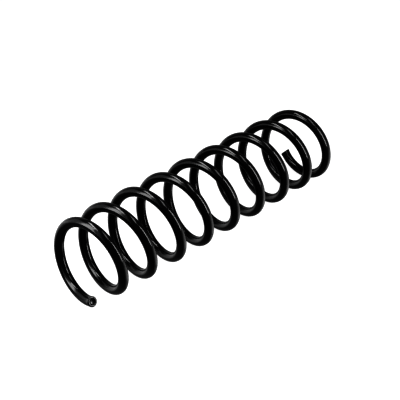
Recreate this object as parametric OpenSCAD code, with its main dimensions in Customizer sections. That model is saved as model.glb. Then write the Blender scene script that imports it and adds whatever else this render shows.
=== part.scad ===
// Helical compression spring for a vehicle suspension, wound from round wire.
// It lies on its side: the floor is z = 0, and the coil axis runs along +X above it.
// The wire winds right-handed from the first cut end, at low X, to the last, at high X.

/* [Wire] */
// Diameter of the round wire
wire_dia = 12; // [8:0.5:14]
// Flats round the wire's section
wire_flats = 16; // [8:4:16]

/* [Free turns] */
// Mean diameter of the coil, between wire centres
coil_dia = 95; // [80:1:125]
// Advance along the axis in one free turn
pitch = 46.3; // [24:0.1:60]
// Turns of wire from cut end to cut end
turns = 9.217; // [5:0.001:9.9]
// Straight chords that draw one turn
turn_chords = 36; // [24:4:36]
// Place of the first cut end round the axis, in degrees past straight down
first_end_angle = -29.6; // [-180:0.1:180]

/* [First end] */
// Pitch at the first cut end
first_pitch = 29; // [16:0.1:60]
// Turns over which it grows to the free pitch
first_pitch_turns = 1.74; // [0.25:0.01:2.4]
// How much smaller than the free turns the coil is at the first cut end
first_draw_in = 3.6; // [0:0.1:12]
// Turns over which the coil widens to the free turns
first_draw_turns = 1.79; // [0.25:0.01:2.4]

/* [Last end] */
// Pitch at the last cut end
last_pitch = 25.3; // [16:0.1:60]
// Turns over which the free pitch eases down to it
last_pitch_turns = 1.17; // [0.25:0.01:2.4]
// How much smaller than the free turns the coil is at the last cut end
last_draw_in = 4; // [0:0.1:12]
// Turns over which the coil narrows from the free turns
last_draw_turns = 1.89; // [0.25:0.01:2.4]

/* [Cut ends] */
// Swelling of the wire behind the cut, where the shears pressed it
lip_swell = 0.3; // [0:0.05:0.6]
// Length of wire that the swelling fades out over
lip_length = 5; // [3:0.5:8]
// Rounding of the rim of the cut face
rim_round = 1.2; // [0.3:0.1:1.4]
// Depth of the hollow in the middle of the cut face
dish_depth = 0.6; // [0:0.1:1.5]
// How far the first cut is from square across the wire
first_slant = 7; // [0:0.5:12]
// Its side cut shorter, in degrees round the wire from outward towards -X
first_slant_side = -67; // [-180:1:180]
// How far the last cut is from square across the wire
last_slant = 9.5; // [0:0.5:12]
// Its side cut shorter, in degrees round the wire from outward towards -X
last_slant_side = 53; // [-180:1:180]

/* [Hidden] */

wire_r = wire_dia / 2;
coil_r = coil_dia / 2;
axis_height = coil_r + wire_r;
chord_angle = 360 / turn_chords;

// A ramp from 0 to 1 with level ends, and the area above it from 0 to u
function ramp(u) = u <= 0 ? 0 : u >= 1 ? 1 : u * u * (3 - 2 * u);
function area_above_ramp(u) = u >= 1 ? 1 / 2 : u - pow(u, 3) + pow(u, 4) / 2;

// Pitch at t turns from the first end
function pitch_at(t) =
    pitch
    - (pitch - first_pitch) * (1 - ramp(t / first_pitch_turns))
    - (pitch - last_pitch) * (1 - ramp((turns - t) / last_pitch_turns));

// Advance along the axis at t turns: the integral of the pitch
function first_shortfall(t) =
    (pitch - first_pitch) * first_pitch_turns * area_above_ramp(t / first_pitch_turns);
function last_shortfall(t) =
    (pitch - last_pitch) * last_pitch_turns
    * (1 / 2 - area_above_ramp((turns - t) / last_pitch_turns));
function advance_at(t) = pitch * t - first_shortfall(t) - last_shortfall(t);
half_length = advance_at(turns) / 2;

// Coil radius at t turns
function radius_at(t) =
    coil_r
    - first_draw_in / 2 * (1 - ramp(t / first_draw_turns))
    - last_draw_in / 2 * (1 - ramp((turns - t) / last_draw_turns));

// Angle past straight down, and length of wire in one turn, at t turns
function angle_at(t) = first_end_angle + 360 * t;
function wire_per_turn(t) = norm([pitch_at(t), 2 * PI * radius_at(t)]);

// The wire's centre, where the middles of the chords lie on the true coil
function centre_at(t) =
    let (r = radius_at(t) / cos(chord_angle / 2), a = angle_at(t))
    [advance_at(t) - half_length, r * sin(a), -r * cos(a)];

// Directions out of the coil, along the wire, and across both
function outward_at(t) = [0, sin(angle_at(t)), -cos(angle_at(t))];
function along_at(t) =
    let (v = [pitch_at(t), 2 * PI * radius_at(t) * cos(angle_at(t)),
              2 * PI * radius_at(t) * sin(angle_at(t))])
    v / norm(v);
function across_at(t) = cross(along_at(t), outward_at(t));

// One section of the wire, whose flats touch a circle of radius r.
// Its lean is how far it moves along the wire for each step outward and across
function section(t, r, lean) =
    [for (i = [0 : wire_flats - 1])
        let (b = (i + 1 / 2) * 360 / wire_flats, corner = r / cos(180 / wire_flats))
        centre_at(t)
        + corner * (cos(b) * outward_at(t) + sin(b) * across_at(t)
                    + (cos(b) * lean[0] + sin(b) * lean[1]) * along_at(t))];

// The cut end as [distance behind the face, radius], from the hollow out over the rim
swollen_r = wire_r + lip_swell;
cut_profile = [
    [dish_depth, swollen_r / 2 - rim_round * 0.8],
    [0, swollen_r - rim_round * 1.6],
    [0, swollen_r - rim_round],
    [rim_round * 0.3, swollen_r - rim_round * 0.3],
    [rim_round, swollen_r],
    [lip_length / 2, wire_r + lip_swell / 2],
    [lip_length, wire_r]
];
function lean(slant, side, behind) =
    tan(slant) * (1 - ramp(behind / lip_length)) * [cos(side), sin(side)];
first_stations =
    [for (c = cut_profile)
        [c[0] / wire_per_turn(0), c[1], lean(first_slant, first_slant_side, c[0])]];
last_stations =
    [for (i = [len(cut_profile) - 1 : -1 : 0])
        let (c = cut_profile[i])
        [turns - c[0] / wire_per_turn(turns), c[1], -lean(last_slant, last_slant_side, c[0])]];

// Sections between the ends lie half a chord either side of straight down,
// so each turn rests on the middle of a chord
first_chord = ceil((angle_at(first_stations[len(cut_profile) - 1][0]) + 1) / chord_angle - 1 / 2);
last_chord = floor((angle_at(last_stations[0][0]) - 1) / chord_angle - 1 / 2);
turn_stations =
    [for (k = [first_chord : last_chord])
        [((k + 1 / 2) * chord_angle - first_end_angle) / 360, wire_r, [0, 0]]];

module swept_wire(stations, first_apex, last_apex) {
    points = [
        first_apex,
        for (s = stations) each section(s[0], s[1], s[2]),
        last_apex
    ];
    rings = len(stations);
    last_point = len(points) - 1;
    function corner(ring, i) = 1 + ring * wire_flats + i % wire_flats;
    sides = [
        for (ring = [0 : rings - 2], i = [0 : wire_flats - 1])
            each [
                [corner(ring, i), corner(ring + 1, i + 1), corner(ring, i + 1)],
                [corner(ring, i), corner(ring + 1, i), corner(ring + 1, i + 1)]
            ]
    ];
    first_cap = [for (i = [0 : wire_flats - 1]) [0, corner(0, i), corner(0, i + 1)]];
    last_cap = [
        for (i = [0 : wire_flats - 1])
            [last_point, corner(rings - 1, i + 1), corner(rings - 1, i)]
    ];
    polyhedron(points, concat(first_cap, sides, last_cap), convexity = 20);
}

module coil_spring() {
    first_apex = centre_at(dish_depth / wire_per_turn(0));
    last_apex = centre_at(turns - dish_depth / wire_per_turn(turns));
    color([0.03, 0.03, 0.035])
        translate([0, 0, axis_height])
            swept_wire(concat(first_stations, turn_stations, last_stations), first_apex, last_apex);
}

coil_spring();
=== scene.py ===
"""Black powder-coated suspension spring, lying on its side on a pale studio table.

The wire is one swept surface, worked out from the coil's own sizes: it winds right-handed along +X, its
pitch and coil width ease off towards both ends, and each end is a sheared face with a pressed-out lip.
"""
import math

import bpy
import numpy as np
from bpy.props import FloatProperty, FloatVectorProperty, IntProperty, PointerProperty
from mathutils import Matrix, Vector


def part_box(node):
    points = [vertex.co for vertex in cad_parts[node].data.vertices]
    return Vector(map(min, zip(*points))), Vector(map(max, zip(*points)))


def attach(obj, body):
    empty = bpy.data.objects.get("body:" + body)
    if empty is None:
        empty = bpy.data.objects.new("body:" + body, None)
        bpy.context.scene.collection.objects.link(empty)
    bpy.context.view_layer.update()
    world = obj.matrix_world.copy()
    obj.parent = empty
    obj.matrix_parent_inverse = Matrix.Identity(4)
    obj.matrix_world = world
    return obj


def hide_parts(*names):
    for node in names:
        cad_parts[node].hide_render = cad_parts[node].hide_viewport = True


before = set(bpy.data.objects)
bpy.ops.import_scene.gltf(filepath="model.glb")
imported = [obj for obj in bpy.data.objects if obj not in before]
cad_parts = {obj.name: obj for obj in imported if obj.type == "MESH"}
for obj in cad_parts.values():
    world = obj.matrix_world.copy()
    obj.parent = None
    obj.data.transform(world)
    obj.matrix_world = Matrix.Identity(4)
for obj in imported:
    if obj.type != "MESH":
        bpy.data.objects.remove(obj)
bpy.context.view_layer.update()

bl_info = {
    "name": "Coil Spring",
    "version": (1, 0, 0),
    "blender": (4, 5, 0),
    "location": "View3D > Sidebar > Coil Spring",
    "description": "Builds a powder-coated coil spring, its finish and a small studio",
    "category": "Add Mesh",
}

CAD_NODE = "coil_spring"
MM = 0.001
WIRE_DIA = 12 * MM

# Rings of points that draw the dish, the rim and the fading lip of each cut end
DISH_RINGS = 10
RIM_RINGS = 8
LIP_RINGS = 7

# The camera's sensor in millimetres, and how far it sees in metres
SENSOR_WIDTH = 36
CAMERA_REACH = 100

# The tones that get a point on the contrast curve, and the curve that all three colours share
CURVE_TONES = (0.02, 0.06, 0.12, 0.25, 0.4, 0.6, 0.8)
SHARED_CURVE = 3

NODE_LOW, NODE_HIGH = (np.array(corner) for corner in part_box(CAD_NODE))
OUTSIDE_DIA = float(NODE_HIGH[1] - NODE_LOW[1])


def linear_from_hex(code):
    """Turns an sRGB hex code such as "1A1A1B" to linear red, green and blue."""
    srgb = np.array([int(code[i:i + 2], 16) for i in (0, 2, 4)]) / 255
    linear = np.where(srgb <= 0.04045, srgb / 12.92, ((srgb + 0.055) / 1.055) ** 2.4)
    return tuple(float(c) for c in linear)


class SpringSizes(bpy.types.PropertyGroup):
    """Sizes of the wire and the coil."""

    wire_dia: FloatProperty(
        name="Wire diameter", description="Diameter of the round wire",
        default=WIRE_DIA, unit="LENGTH")
    coil_dia: FloatProperty(
        name="Coil diameter", description="Mean diameter of the free turns, between wire centres",
        default=round(OUTSIDE_DIA, 4) - WIRE_DIA, unit="LENGTH")
    pitch: FloatProperty(
        name="Pitch", description="Advance along the axis in one free turn",
        default=46.3 * MM, unit="LENGTH")
    turns: FloatProperty(
        name="Turns", description="Turns of wire from cut end to cut end",
        default=9.217)
    first_end_angle: FloatProperty(
        name="First end angle", description="Place of the first cut end past straight down, about +X",
        default=math.radians(-29.6), subtype="ANGLE")
    first_pitch: FloatProperty(
        name="First pitch", description="Pitch at the first cut end",
        default=29 * MM, unit="LENGTH")
    first_pitch_turns: FloatProperty(
        name="First pitch turns", description="Turns over which it grows to the free pitch",
        default=1.74)
    first_draw_in: FloatProperty(
        name="First draw-in", description="How much smaller the coil is at the first cut end",
        default=3.6 * MM, unit="LENGTH")
    first_draw_turns: FloatProperty(
        name="First draw-in turns", description="Turns over which the coil widens again",
        default=1.79)
    last_pitch: FloatProperty(
        name="Last pitch", description="Pitch at the last cut end",
        default=25.3 * MM, unit="LENGTH")
    last_pitch_turns: FloatProperty(
        name="Last pitch turns", description="Turns over which the free pitch eases down to it",
        default=1.17)
    last_draw_in: FloatProperty(
        name="Last draw-in", description="How much smaller the coil is at the last cut end",
        default=4 * MM, unit="LENGTH")
    last_draw_turns: FloatProperty(
        name="Last draw-in turns", description="Turns over which the coil narrows",
        default=1.89)
    lip_swell: FloatProperty(
        name="Lip", description="Swelling of the wire behind the cut, where the shears pressed it",
        default=0.3 * MM, unit="LENGTH")
    lip_length: FloatProperty(
        name="Lip length", description="Length of wire that the swelling fades out over",
        default=5 * MM, unit="LENGTH")
    rim_round: FloatProperty(
        name="Rim rounding", description="Radius of the rim of the cut face",
        default=1.2 * MM, unit="LENGTH")
    dish_dia: FloatProperty(
        name="Dish diameter", description="Width of the hollow in the middle of the cut face",
        default=8.6 * MM, unit="LENGTH")
    dish_depth: FloatProperty(
        name="Dish depth", description="Depth of that hollow",
        default=1.4 * MM, unit="LENGTH")
    first_slant: FloatProperty(
        name="First slant", description="How far the first cut is from square across the wire",
        default=math.radians(7), subtype="ANGLE")
    first_slant_side: FloatProperty(
        name="First slant side", description="Side cut shorter, round the wire from outward towards -X",
        default=math.radians(-67), subtype="ANGLE")
    last_slant: FloatProperty(
        name="Last slant", description="How far the last cut is from square across the wire",
        default=math.radians(9.5), subtype="ANGLE")
    last_slant_side: FloatProperty(
        name="Last slant side", description="Side cut shorter, round the wire from outward towards -X",
        default=math.radians(53), subtype="ANGLE")
    turn_steps: IntProperty(
        name="Steps in a turn", description="Sections of the wire in one turn",
        default=176, min=24)
    section_sides: IntProperty(
        name="Section sides", description="Points round one section of the wire",
        default=52, min=12)


class CoatFinish(bpy.types.PropertyGroup):
    """Colour and surface of the powder coat."""

    colour: FloatVectorProperty(
        name="Colour", description="Pigment of the powder coat",
        default=linear_from_hex("0E0E0F"), size=3, subtype="COLOR")
    roughness: FloatProperty(
        name="Roughness", description="Roughness of the flowed, glossy coat",
        default=0.17, subtype="FACTOR")
    peel_size: FloatProperty(
        name="Ripple size", description="Width of the soft ripples that powder flows out to",
        default=2.5 * MM, unit="LENGTH")
    peel_height: FloatProperty(
        name="Ripple height", description="Height of those ripples",
        default=0.03 * MM, unit="LENGTH")
    haze_size: FloatProperty(
        name="Haze size", description="Width of the patches where the coat is a little hazier",
        default=22.5 * MM, unit="LENGTH")
    haze_low: FloatProperty(
        name="Clearest patch", description="Share of the roughness that the clearest patches have",
        default=0.8)
    haze_high: FloatProperty(
        name="Haziest patch", description="Share of the roughness that the haziest patches have",
        default=1.25)


class StudioSettings(bpy.types.PropertyGroup):
    """Camera, table and even light of the small studio."""

    camera_azimuth: FloatProperty(
        name="Camera azimuth", description="Direction that the camera looks in, from +Y towards -X",
        default=math.radians(-45.185), subtype="ANGLE")
    camera_elevation: FloatProperty(
        name="Camera elevation", description="Height of the camera above the floor, as an angle",
        default=math.radians(32.96), subtype="ANGLE")
    camera_distance: FloatProperty(
        name="Camera distance", description="From the camera to the point it looks at",
        default=1.1884, unit="LENGTH")
    camera_lens: FloatProperty(
        name="Lens", description="Focal length on a 36 mm wide sensor",
        default=85.68, unit="CAMERA")
    camera_offset: FloatVectorProperty(
        name="Camera offset", description="From the middle of the spring to the point the camera looks at",
        default=(-3.7 * MM, 0.8 * MM, -3.3 * MM), size=3, subtype="TRANSLATION")
    floor_side: FloatProperty(
        name="Floor side", description="Side of the square floor",
        default=24.0, unit="LENGTH")
    floor_colour: FloatVectorProperty(
        name="Floor colour", description="Colour of the matt table top",
        default=linear_from_hex("7C7C7C"), size=3, subtype="COLOR")
    floor_glow: FloatProperty(
        name="Floor glow", description="Radiance that the table is lit to from below, where white is 1",
        default=0.92, min=0)
    room_light: FloatProperty(
        name="Room light", description="Radiance of the even room round the spring",
        default=0.36, min=0)
    backdrop: FloatProperty(
        name="Backdrop", description="Radiance of the paper that the camera sees behind the table",
        default=1.0, min=0)
    contrast_toe: FloatProperty(
        name="Contrast toe", description="Toe of the contrast curve; a small one deepens the blacks",
        default=2.0, min=0.01)


def ramp(u):
    """Goes from 0 to 1 with level ends: 3 u squared less 2 u cubed, held at 0 and 1 outside."""
    u = np.clip(u, 0, 1)
    return u * u * (3 - 2 * u)


def area_above_ramp(u):
    """Integral of 1 less the ramp, from 0 to u.

    It is u less u cubed plus half of u to the fourth, and 1/2 past 1.
    """
    u = np.clip(u, 0, 1)
    return u - u ** 3 + u ** 4 / 2


class Helix:
    """The wire's centreline, as functions of t, the number of turns from the first cut end."""

    def __init__(self, s):
        self.s = s
        self.half_length = self.advance(s.turns) / 2

    def pitch(self, t):
        """Free pitch, less what each end's easing takes from it."""
        s = self.s
        first = (s.pitch - s.first_pitch) * (1 - ramp(t / s.first_pitch_turns))
        last = (s.pitch - s.last_pitch) * (1 - ramp((s.turns - t) / s.last_pitch_turns))
        return s.pitch - first - last

    def advance(self, t):
        """Integral of the pitch from the first cut end."""
        s = self.s
        first = (s.pitch - s.first_pitch) * s.first_pitch_turns * area_above_ramp(t / s.first_pitch_turns)
        left = area_above_ramp((s.turns - t) / s.last_pitch_turns)
        last = (s.pitch - s.last_pitch) * s.last_pitch_turns * (0.5 - left)
        return s.pitch * t - first - last

    def radius(self, t):
        """Radius of the free turns, less what each end draws in."""
        s = self.s
        first = s.first_draw_in / 2 * (1 - ramp(t / s.first_draw_turns))
        last = s.last_draw_in / 2 * (1 - ramp((s.turns - t) / s.last_draw_turns))
        return s.coil_dia / 2 - first - last

    def wire_per_turn(self, t):
        """Length of wire in one turn: the hypotenuse of the pitch and the turn's circumference."""
        return np.hypot(self.pitch(t), 2 * np.pi * self.radius(t))

    def sections(self, t):
        """Centre, outward and across directions of the wire at each t, as three arrays of points.

        The centre circles the axis at the coil radius, a angles past straight down, and advances along +X.
        Outward points away from the axis. Across is the wire's own direction crossed with outward.
        """
        a = self.s.first_end_angle + 2 * np.pi * t
        outward = np.stack([0 * t, np.sin(a), -np.cos(a)], 1)
        axis_height = (self.s.coil_dia + self.s.wire_dia) / 2
        middle = np.stack([self.advance(t) - self.half_length, 0 * t, 0 * t + axis_height], 1)
        centre = middle + self.radius(t)[:, None] * outward
        round_speed = 2 * np.pi * self.radius(t)
        along = np.stack([self.pitch(t), round_speed * np.cos(a), round_speed * np.sin(a)], 1)
        along /= np.linalg.norm(along, axis=1)[:, None]
        return centre, outward, np.cross(along, outward)


def cut_end_profile(s):
    """Distance behind the cut face and section radius, from the middle of the dish out over the rim.

    The dish has a flat floor over half its width, and its wall is the ramp. The rim is a quarter circle,
    and behind it the swelling fades along the wire with the ramp.
    """
    swollen = s.wire_dia / 2 + s.lip_swell
    land = swollen - s.rim_round
    dish_r = s.dish_dia / 2
    r_dish = np.concatenate([[0.1 * dish_r], np.linspace(0.5, 1, DISH_RINGS) * dish_r, [max(land, dish_r)]])
    dish = np.stack([s.dish_depth * (1 - ramp(2 * r_dish / dish_r - 1)), r_dish], 1)
    turn = np.linspace(0, np.pi / 2, RIM_RINGS + 1)[1:]
    rim = np.stack([s.rim_round * (1 - np.cos(turn)), land + s.rim_round * np.sin(turn)], 1)
    back = np.linspace(0, 1, LIP_RINGS + 1)[1:]
    run = s.rim_round + (s.lip_length - s.rim_round) * back
    fade = np.stack([run, s.wire_dia / 2 + s.lip_swell * (1 - ramp(back))], 1)
    return np.concatenate([dish, rim, fade])


def wire_stations(s, helix):
    """Turn parameter and section radius of every section, from the first cut face to the last."""
    profile = cut_end_profile(s)
    first = np.stack([profile[:, 0] / helix.wire_per_turn(0.0), profile[:, 1]], 1)
    last = np.stack([s.turns - profile[::-1, 0] / helix.wire_per_turn(s.turns), profile[::-1, 1]], 1)
    count = int(round((last[0, 0] - first[-1, 0]) * s.turn_steps))
    t = np.linspace(first[-1, 0], last[0, 0], count + 1)[1:-1]
    plain = np.stack([t, np.full_like(t, s.wire_dia / 2)], 1)
    return np.concatenate([first, plain, last])


def closed_tube_faces(rings, sides):
    """Quads between the rings of a tube, and fans of triangles to one point at each end.

    Point 0 is the first end's middle, the rings follow in order, and the last point closes the other end.
    """
    ring = np.arange(rings - 1)[:, None]
    side = np.arange(sides)[None, :]
    a = 1 + ring * sides + side
    b = 1 + ring * sides + (side + 1) % sides
    quads = np.stack([a, a + sides, b + sides, b], 2).reshape(-1, 4)
    i = np.arange(sides)
    j = (i + 1) % sides
    base = 1 + (rings - 1) * sides
    first = np.stack([0 * i, 1 + i, 1 + j], 1)
    last = np.stack([0 * i + base + sides, base + j, base + i], 1)
    return quads, np.concatenate([first, last])


def mesh_from_faces(name, points, quads, triangles):
    """Puts points, quads and triangles into a smooth-shaded mesh through foreach_set."""
    mesh = bpy.data.meshes.new(name)
    mesh.vertices.add(len(points))
    mesh.vertices.foreach_set("co", np.asarray(points, np.float32).ravel())
    corners = np.concatenate([quads.ravel(), triangles.ravel()]).astype(np.int32)
    starts = np.concatenate([
        4 * np.arange(len(quads)),
        4 * len(quads) + 3 * np.arange(len(triangles)),
    ]).astype(np.int32)
    mesh.loops.add(len(corners))
    mesh.loops.foreach_set("vertex_index", corners)
    mesh.polygons.add(len(starts))
    mesh.polygons.foreach_set("loop_start", starts)
    mesh.polygons.foreach_set("use_smooth", np.ones(len(starts), bool))
    mesh.update(calc_edges=True)
    mesh.validate()
    return mesh


def slant_lean(s, helix, t):
    """Lean of each section: how far its points move along the wire for each step outward and across.

    It is the tangent of the slant at a cut face, towards the side cut shorter, and fades out with the ramp
    over the length of the lip.
    """
    first = np.tan(s.first_slant) * (1 - ramp(t * helix.wire_per_turn(0.0) / s.lip_length))
    last = np.tan(s.last_slant) * (1 - ramp((s.turns - t) * helix.wire_per_turn(s.turns) / s.lip_length))
    outward = first * np.cos(s.first_slant_side) - last * np.cos(s.last_slant_side)
    across = first * np.sin(s.first_slant_side) - last * np.sin(s.last_slant_side)
    return outward, across


def build_wire(s):
    """The swept wire: at each station, a circle of its radius in the plane of outward and across.

    Near the cut ends the sections lean, so that the wire is cut at a slant.

    The attribute "straight_wire" holds each point's place on the wire as if it were pulled straight: the
    section's own two coordinates, and the distance along the wire. Patterns that follow the wire read it.
    """
    helix = Helix(s)
    stations = wire_stations(s, helix)
    t, r = stations[:, 0], stations[:, 1]
    centre, outward, across = helix.sections(t)
    angle = np.arange(s.section_sides) * 2 * np.pi / s.section_sides
    cos, sin = np.cos(angle)[None, :, None], np.sin(angle)[None, :, None]
    spokes = cos * outward[:, None] + sin * across[:, None]
    lean_outward, lean_across = slant_lean(s, helix, t)
    lean = cos * lean_outward[:, None, None] + sin * lean_across[:, None, None]
    spokes = spokes + lean * np.cross(outward, across)[:, None]
    rings = centre[:, None] + r[:, None, None] * spokes
    tips = np.array([s.dish_depth / helix.wire_per_turn(0.0),
                     s.turns - s.dish_depth / helix.wire_per_turn(s.turns)])
    apex = helix.sections(tips)[0]
    points = np.concatenate([apex[:1], rings.reshape(-1, 3), apex[1:]])
    quads, triangles = closed_tube_faces(len(t), s.section_sides)
    mesh = mesh_from_faces("spring_wire", points, quads, triangles)

    middle = (t[1:] + t[:-1]) / 2
    along = np.concatenate([[0], np.cumsum(helix.wire_per_turn(middle) * np.diff(t))])
    straight = np.zeros((len(t), s.section_sides, 3))
    straight[..., 0] = r[:, None] * np.cos(angle)
    straight[..., 1] = r[:, None] * np.sin(angle)
    straight[..., 2] = along[:, None]
    ends = np.array([[0, 0, along[0]], [0, 0, along[-1]]])
    values = np.concatenate([ends[:1], straight.reshape(-1, 3), ends[1:]])
    attribute = mesh.attributes.new("straight_wire", "FLOAT_VECTOR", "POINT")
    attribute.data.foreach_set("vector", values.astype(np.float32).ravel())
    return mesh


def add_node(tree, kind, settings=None, links=None):
    """Adds one node: settings are its attributes or socket values, links its inputs by name or number."""
    node = tree.nodes.new(kind)
    for key, value in (settings or {}).items():
        if hasattr(node, key):
            setattr(node, key, value)
        else:
            node.inputs[key].default_value = value
    for key, source in (links or {}).items():
        tree.links.new(source, node.inputs[key])
    return node


def new_material(name):
    """A material whose node tree holds only its output."""
    material = bpy.data.materials.new(name)
    material.use_nodes = True
    material.node_tree.nodes.clear()
    return material, material.node_tree


def powder_coat(c):
    """Black powder coat on spring steel, oven-cured over shot-peened wire.

    The eye sees a deep black with clear, narrow highlights. The powder flowed out in soft ripples, which
    make the edges of the highlights waver, and left some places a little hazier than others.
    """
    material, tree = new_material("black_powder_coat_on_spring_steel")
    wire = add_node(tree, "ShaderNodeAttribute", {"attribute_name": "straight_wire"})
    ripples = add_node(tree, "ShaderNodeTexNoise",
                       {"Scale": 1 / c.peel_size, "Detail": 2.0, "Roughness": 0.5},
                       {"Vector": wire.outputs["Vector"]})
    coat_bump = add_node(tree, "ShaderNodeBump",
                         {"Strength": 1.0, "Distance": c.peel_height},
                         {"Height": ripples.outputs["Fac"]})
    haze = add_node(tree, "ShaderNodeTexNoise",
                    {"Scale": 1 / c.haze_size, "Detail": 3.0, "Roughness": 0.6},
                    {"Vector": wire.outputs["Vector"]})
    roughness = add_node(tree, "ShaderNodeMapRange",
                         {"From Min": 0.3, "From Max": 0.7,
                          "To Min": c.roughness * c.haze_low,
                          "To Max": c.roughness * c.haze_high},
                         {"Value": haze.outputs["Fac"]})
    shader = add_node(tree, "ShaderNodeBsdfPrincipled",
                      {"Base Color": (*c.colour, 1), "IOR": 1.5, "Metallic": 0.0},
                      {"Roughness": roughness.outputs["Result"], "Normal": coat_bump.outputs["Normal"]})
    add_node(tree, "ShaderNodeOutputMaterial", {}, {"Surface": shader.outputs["BSDF"]})
    return material


def opal_table(colour, glow):
    """Matt opal acrylic, lit evenly from below, which the eye sees as a white floor without shadows."""
    material, tree = new_material("opal_acrylic_table")
    shader = add_node(tree, "ShaderNodeBsdfPrincipled",
                      {"Base Color": (*colour, 1), "Roughness": 0.9, "IOR": 1.49,
                       "Emission Color": (1.0, 1.0, 1.0, 1.0), "Emission Strength": glow})
    add_node(tree, "ShaderNodeOutputMaterial", {}, {"Surface": shader.outputs["BSDF"]})
    return material


def direction(azimuth, elevation):
    """Unit vector from the spring towards a bearing from +Y to +X and a height angle, in degrees."""
    az, el = math.radians(azimuth), math.radians(elevation)
    return Vector((math.sin(az) * math.cos(el), math.cos(az) * math.cos(el), math.sin(el)))


def aim(obj, place, target):
    """Stands an object at place, with its -Z axis on the target and its top up."""
    obj.location = place
    obj.rotation_euler = (Vector(target) - Vector(place)).to_track_quat("-Z", "Y").to_euler()


# Two upright panels and two overhead strips stand near the spring, each panel with a weaker halo round it.
# The glows are broad lamps behind the table and below it, whose light the underside of the coat mirrors.
# Bearings and heights are in degrees, sizes in metres, and a radiance of 1 is white.
SOFTBOXES = {
    "left_panel": {"shape": "RECTANGLE", "azimuth": -75, "elevation": 26, "distance": 0.5,
                   "lean": 2, "width": 0.15, "height": 0.4, "radiance": 8.5},
    "left_halo": {"shape": "RECTANGLE", "azimuth": -80, "elevation": 28, "distance": 0.5,
                  "lean": 0, "width": 0.35, "height": 0.45, "radiance": 1},
    "left_spill": {"shape": "RECTANGLE", "azimuth": -48, "elevation": 18, "distance": 0.5,
                   "lean": 0, "width": 0.3, "height": 0.35, "radiance": 1.3},
    "right_panel": {"shape": "RECTANGLE", "azimuth": 166, "elevation": 25, "distance": 0.5,
                    "lean": -2, "width": 0.085, "height": 0.48, "radiance": 19},
    "right_halo": {"shape": "RECTANGLE", "azimuth": 150, "elevation": 20, "distance": 0.5,
                   "lean": 0, "width": 0.2, "height": 0.4, "radiance": 1.5},
    "back_strip": {"shape": "RECTANGLE", "azimuth": -48, "elevation": 68, "distance": 0.75,
                   "lean": 7, "width": 0.6, "height": 0.13, "radiance": 16},
    "front_strip": {"shape": "RECTANGLE", "azimuth": 154, "elevation": 69, "distance": 0.7,
                    "lean": -12, "width": 0.5, "height": 0.13, "radiance": 7},
    "back_wall_glow": {"shape": "ELLIPSE", "azimuth": 12, "elevation": 12, "distance": 1.5,
                       "lean": 0, "width": 1.5, "height": 1.5, "radiance": 0.27},
    "front_table_glow": {"shape": "ELLIPSE", "azimuth": 128, "elevation": -32, "distance": 1.5,
                         "lean": 0, "width": 3, "height": 2.4, "radiance": 0.5},
    "front_table_core": {"shape": "ELLIPSE", "azimuth": 128, "elevation": -30, "distance": 1.5,
                         "lean": 0, "width": 1.5, "height": 1.3, "radiance": 1.4},
    "back_table_glow": {"shape": "ELLIPSE", "azimuth": -10, "elevation": -16, "distance": 1.5,
                        "lean": 0, "width": 2.2, "height": 1.3, "radiance": 0.6},
    "back_table_core": {"shape": "ELLIPSE", "azimuth": -14, "elevation": -15, "distance": 1.5,
                        "lean": 0, "width": 1.1, "height": 0.8, "radiance": 0.6},
}


def add_softbox(name, shape, azimuth, elevation, distance, lean, width, height, radiance, centre):
    """An area light aimed at the spring and turned about that line by its lean.

    Its power is radiance x pi x area.
    """
    fill = math.pi / 4 if shape == "ELLIPSE" else 1.0
    light = bpy.data.lights.new(name, "AREA")
    light.shape = shape
    light.size = width
    light.size_y = height
    light.energy = radiance * math.pi * width * height * fill
    box = bpy.data.objects.new(name, light)
    bpy.context.scene.collection.objects.link(box)
    aim(box, centre + distance * direction(azimuth, elevation), centre)
    box.rotation_euler.rotate_axis("Z", -math.radians(lean))
    return box


def room_world(light, backdrop):
    """A dim, even room lights the spring; the camera sees the backdrop behind it white."""
    world = bpy.data.worlds.new("studio_room")
    world.use_nodes = True
    tree = world.node_tree
    tree.nodes.clear()
    path = add_node(tree, "ShaderNodeLightPath")
    white = (1.0, 1.0, 1.0, 1.0)
    room = add_node(tree, "ShaderNodeBackground", {"Color": white, "Strength": light})
    paper = add_node(tree, "ShaderNodeBackground", {"Color": white, "Strength": backdrop})
    mix = add_node(tree, "ShaderNodeMixShader", {},
                   {0: path.outputs["Is Camera Ray"], 1: room.outputs[0], 2: paper.outputs[0]})
    add_node(tree, "ShaderNodeOutputWorld", {}, {"Surface": mix.outputs[0]})
    bpy.context.scene.world = world


def set_contrast(toe):
    """The photograph's deep blacks: the curve is x squared over x plus toe, scaled to keep white white."""
    view = bpy.context.scene.view_settings
    view.view_transform = "Standard"
    view.use_curve_mapping = True
    mapping = view.curve_mapping
    curve = mapping.curves[SHARED_CURVE]
    for x in CURVE_TONES:
        curve.points.new(x, (1 + toe) * x * x / (x + toe))
    mapping.update()


class SPRING_OT_wire(bpy.types.Operator):
    """Builds the swept wire with both cut ends, in place of the plain solid"""

    bl_idname = "spring.build_wire"
    bl_label = "Build wire"
    bl_options = {"REGISTER", "UNDO"}

    def execute(self, context):
        wire = bpy.data.objects.new("spring_wire", build_wire(context.scene.spring_sizes))
        context.scene.collection.objects.link(wire)
        wire.data.materials.append(powder_coat(context.scene.coat_finish))
        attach(wire, "root")
        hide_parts(CAD_NODE)
        return {"FINISHED"}


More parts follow.
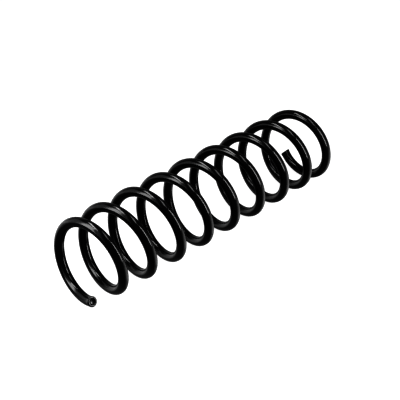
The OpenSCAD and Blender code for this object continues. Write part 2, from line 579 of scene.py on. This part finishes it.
class SPRING_OT_studio(bpy.types.Operator):
    """Sets up the lit table, the softboxes, the even room and the camera"""

    bl_idname = "spring.build_studio"
    bl_label = "Build studio"
    bl_options = {"REGISTER", "UNDO"}

    def execute(self, context):
        studio = context.scene.studio_settings
        low, high = Vector(NODE_LOW), Vector(NODE_HIGH)
        centre = (low + high) / 2
        half = studio.floor_side / 2
        corners = [(-half, -half, low.z), (half, -half, low.z), (half, half, low.z), (-half, half, low.z)]
        mesh = bpy.data.meshes.new("floor")
        mesh.from_pydata(corners, [], [(0, 1, 2, 3)])
        floor = bpy.data.objects.new("floor", mesh)
        context.scene.collection.objects.link(floor)
        floor.data.materials.append(opal_table(studio.floor_colour, studio.floor_glow))
        # Only the camera sees the table: light from the lamps below it passes through to the coat.
        floor.visible_glossy = False
        floor.visible_diffuse = False
        floor.visible_shadow = False

        for name, box in SOFTBOXES.items():
            add_softbox(name, centre=centre, **box)
        room_world(studio.room_light, studio.backdrop)

        camera_data = bpy.data.cameras.new("camera")
        camera_data.sensor_width = SENSOR_WIDTH
        camera_data.lens = studio.camera_lens
        camera_data.clip_end = CAMERA_REACH
        camera = bpy.data.objects.new("camera", camera_data)
        context.scene.collection.objects.link(camera)
        target = centre + Vector(studio.camera_offset)
        az, el = studio.camera_azimuth, studio.camera_elevation
        back = Vector((math.sin(az) * math.cos(el), -math.cos(az) * math.cos(el), math.sin(el)))
        aim(camera, target + studio.camera_distance * back, target)
        context.scene.camera = camera

        set_contrast(studio.contrast_toe)
        return {"FINISHED"}


class SPRING_PT_panel(bpy.types.Panel):
    """Lists the sizes, the finish and the steps"""

    bl_label = "Coil Spring"
    bl_idname = "SPRING_PT_panel"
    bl_space_type = "VIEW_3D"
    bl_region_type = "UI"
    bl_category = "Coil Spring"

    def draw(self, context):
        scene = context.scene
        for group in (scene.spring_sizes, scene.coat_finish, scene.studio_settings):
            box = self.layout.box()
            for name in group.bl_rna.properties.keys():
                if name not in ("rna_type", "name"):
                    box.prop(group, name)
        self.layout.operator(SPRING_OT_wire.bl_idname)
        self.layout.operator(SPRING_OT_studio.bl_idname)


GROUPS = {
    "spring_sizes": SpringSizes,
    "coat_finish": CoatFinish,
    "studio_settings": StudioSettings,
}
CLASSES = (*GROUPS.values(), SPRING_OT_wire, SPRING_OT_studio, SPRING_PT_panel)


def register():
    for cls in CLASSES:
        bpy.utils.register_class(cls)
    for name, cls in GROUPS.items():
        setattr(bpy.types.Scene, name, PointerProperty(type=cls))


def unregister():
    for name in GROUPS:
        delattr(bpy.types.Scene, name)
    for cls in reversed(CLASSES):
        bpy.utils.unregister_class(cls)


def main():
    register()
    bpy.ops.spring.build_wire()
    bpy.ops.spring.build_studio()


if __name__ == "__main__":
    main()
